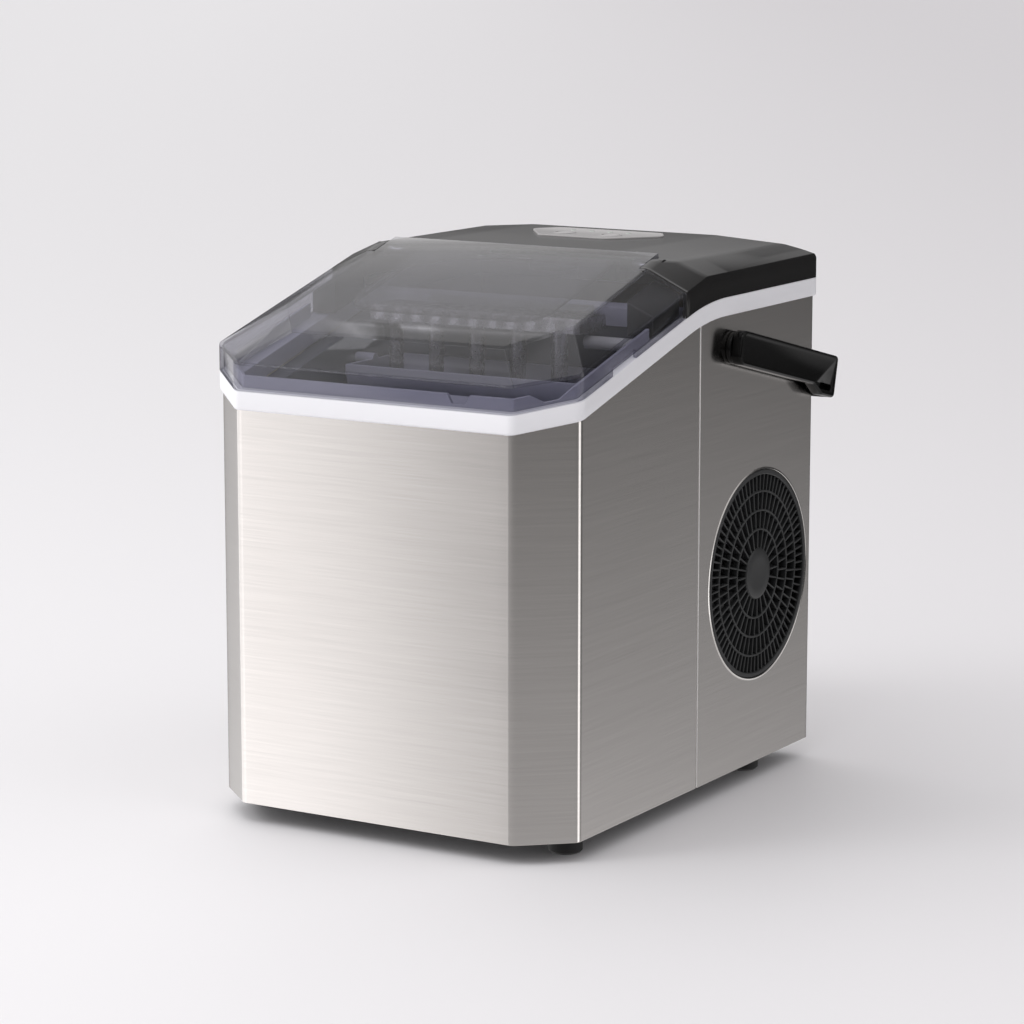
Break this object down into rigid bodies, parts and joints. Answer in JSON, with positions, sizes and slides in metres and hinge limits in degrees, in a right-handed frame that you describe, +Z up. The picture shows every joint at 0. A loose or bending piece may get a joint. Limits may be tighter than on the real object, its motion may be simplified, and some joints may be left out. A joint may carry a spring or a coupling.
{
  "type": "countertop ice maker",
  "caption": "Countertop bullet ice maker: brushed steel body with chamfered front corners, smoky hinged lid, round side vent and folding carry handle.",
  "frame": {"origin": "on the surface the feet stand on, under the centre of the overall box", "axes": "+Z up, +X to the right seen from the front, front of the machine towards -Y"},
  "size_m": [0.241, 0.3048, 0.3035],
  "materials": {
    "stainless": "horizontally brushed",
    "white_trim": "satin moulded",
    "black_housing": "gloss moulded",
    "smoky_clear": "smoky transparent plastic",
    "panel_silver": "satin membrane",
    "button_white": "satin membrane",
    "lens": "clear",
    "rubber_black": "matte",
    "base_black": "matte moulded",
    "liner_grey": "satin moulded",
    "basket_grey": "satin moulded",
    "foam": "foamed",
    "steel_plated": "nickel plated",
    "zinc_steel": "zinc plated",
    "copper": "drawn copper",
    "aluminium_fin": "mill",
    "compressor_black": "semi-gloss enamel",
    "grille_black": "satin moulded",
    "fan_black": "satin moulded",
    "pcb_green": "solder mask",
    "hose_clear": "silicone",
    "float_white": "foamed polypropylene",
    "motor_grey": "plated",
    "handle_black": "gloss moulded"
  },
  "bodies": {
    "chassis": {"base_pan": "base_black", "bulkhead": "foam", "capillary_tube": "copper", "case_screws": "steel_plated", "compressor": "compressor_black", "compressor_mounts": "rubber_black", "compressor_relay": "base_black", "condenser": "aluminium_fin", "control_board": "pcb_green", "control_panel": "panel_silver", "cord_gland": "rubber_black", "discharge_tube": "copper", "drain_plug": "rubber_black", "drain_tube": "hose_clear", "evaporator": "steel_plated", "evaporator_bracket": "zinc_steel", "evaporator_fingers": "steel_plated", "fan_bracket": "zinc_steel", "fan_motor": "motor_grey", "fan_shroud": "base_black", "filter_drier": "copper", "float_stem": "base_black", "foam_insulation": "foam", "foot_front_left": "rubber_black", "foot_front_right": "rubber_black", "foot_rear_left": "rubber_black", "foot_rear_right": "rubber_black", "front_wrap": "stainless", "handle_boss_left": "handle_black", "handle_boss_right": "handle_black", "hinge_pins": "steel_plated", "hot_gas_tube": "copper", "hot_gas_valve": "base_black", "indicator_lenses": "lens", "inner_liner": "liner_grey", "liquid_tube": "copper", "pump_hose": "hose_clear", "rear_wrap": "stainless", "suction_tube": "copper", "top_cover": "black_housing", "tray_motor": "motor_grey", "trim_frame": "white_trim", "vent_grille": "grille_black", "water_pump": "base_black"},
    "lid": {"lid": "smoky_clear"},
    "handle": {"handle_grip": "handle_black", "handle_arm_left": "handle_black", "handle_arm_right": "handle_black"},
    "fan": {"fan_rotor": "fan_black"},
    "tray": {"water_tray": "liner_grey"},
    "basket": {"ice_basket": "basket_grey"},
    "float": {"float_ball": "float_white"},
    "power_key": {"power_button": "button_white"},
    "select_key": {"select_button": "button_white"}
  },
  "joints": [
    {"name": "lid_hinge", "type": "hinge", "parent": "chassis", "child": "lid", "pos_m": [0, -0.00293, 0.297], "axis": [-1, 0, 0], "range_deg": [0, 105]},
    {"name": "handle_pivot", "type": "hinge", "parent": "chassis", "child": "handle", "pos_m": [0, 0.03957, 0.25], "axis": [1, 0, 0], "range_deg": [0, 103.3]},
    {"name": "fan_spin", "type": "hinge", "parent": "chassis", "child": "fan", "pos_m": [0.093, 0.07327, 0.1186], "axis": [1, 0, 0], "continuous": true},
    {"name": "tray_tilt", "type": "hinge", "parent": "chassis", "child": "tray", "pos_m": [0, -0.03593, 0.24], "axis": [-1, 0, 0], "range_deg": [0, 55]},
    {"name": "basket_lift", "type": "slide", "parent": "chassis", "child": "basket", "axis": [0, 0, 1], "range_m": [0, 0.02]},
    {"name": "float_rise", "type": "slide", "parent": "chassis", "child": "float", "axis": [0, 0, 1], "range_m": [0, 0.024]},
    {"name": "power_press", "type": "slide", "parent": "chassis", "child": "power_key", "axis": [0, 0, -1], "range_m": [0, 0.001], "stiffness_N_per_m": 400},
    {"name": "select_press", "type": "slide", "parent": "chassis", "child": "select_key", "axis": [0, 0, -1], "range_m": [0, 0.001], "stiffness_N_per_m": 400}
  ]
}
